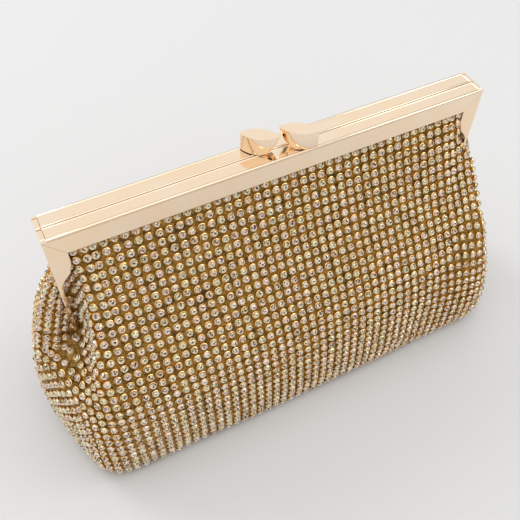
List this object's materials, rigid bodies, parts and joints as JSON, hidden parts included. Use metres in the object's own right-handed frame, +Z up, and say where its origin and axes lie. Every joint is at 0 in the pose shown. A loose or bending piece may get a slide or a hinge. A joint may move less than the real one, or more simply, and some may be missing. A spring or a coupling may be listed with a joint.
{
  "type": "evening bag",
  "caption": "Crystal-mesh evening bag with a hinged metal frame that closes with a kiss lock and opens about rivets in its side arms.",
  "frame": {"origin": "middle of the base, on the floor", "axes": "+Z up, +X along the frame towards its right end seen from the front, +Y towards the rear"},
  "size_m": [0.243, 0.095, 0.1405],
  "materials": {
    "gold_frame": "polished light gold plating",
    "gold_hardware": "polished gold plating",
    "crystal_mesh": "antique gold mesh set with round clear crystals",
    "lining": "champagne satin",
    "board": "grey board",
    "paper_cord": "twisted kraft paper"
  },
  "bodies": {
    "bag": {"hinge_rivet_left": "gold_hardware", "hinge_rivet_right": "gold_hardware", "hinge_washer_left": "gold_hardware", "hinge_washer_right": "gold_hardware", "front_lower_panel": "crystal_mesh", "rear_lower_panel": "crystal_mesh", "left_gusset": "crystal_mesh", "right_gusset": "crystal_mesh", "base_panel": "crystal_mesh", "front_stiffener": "board", "rear_stiffener": "board", "base_board": "board", "front_lining": "lining", "rear_lining": "lining", "left_gusset_lining": "lining", "right_gusset_lining": "lining", "base_lining": "lining", "slip_pocket": "lining"},
    "front_frame": {"front_rail": "gold_frame", "front_arm_left": "gold_frame", "front_arm_right": "gold_frame", "front_lock_head": "gold_frame", "front_lock_stud": "gold_hardware", "front_channel_cord": "paper_cord", "front_upper_panel": "crystal_mesh", "front_upper_lining": "lining"},
    "rear_frame": {"rear_rail": "gold_frame", "rear_arm_left": "gold_frame", "rear_arm_right": "gold_frame", "rear_lock_head": "gold_frame", "rear_lock_stud": "gold_hardware", "rear_channel_cord": "paper_cord", "rear_upper_panel": "crystal_mesh", "rear_upper_lining": "lining"}
  },
  "joints": [
    {"name": "front_hinge", "type": "hinge", "parent": "bag", "child": "front_frame", "pos_m": [0, 0, 0.063], "axis": [1, 0, 0], "range_deg": [0, 30]},
    {"name": "rear_hinge", "type": "hinge", "parent": "bag", "child": "rear_frame", "pos_m": [0, 0, 0.063], "axis": [-1, 0, 0], "range_deg": [0, 30]}
  ],
  "couplings": [
    {"joint": "rear_hinge", "follows": "front_hinge", "ratio": 1}
  ]
}
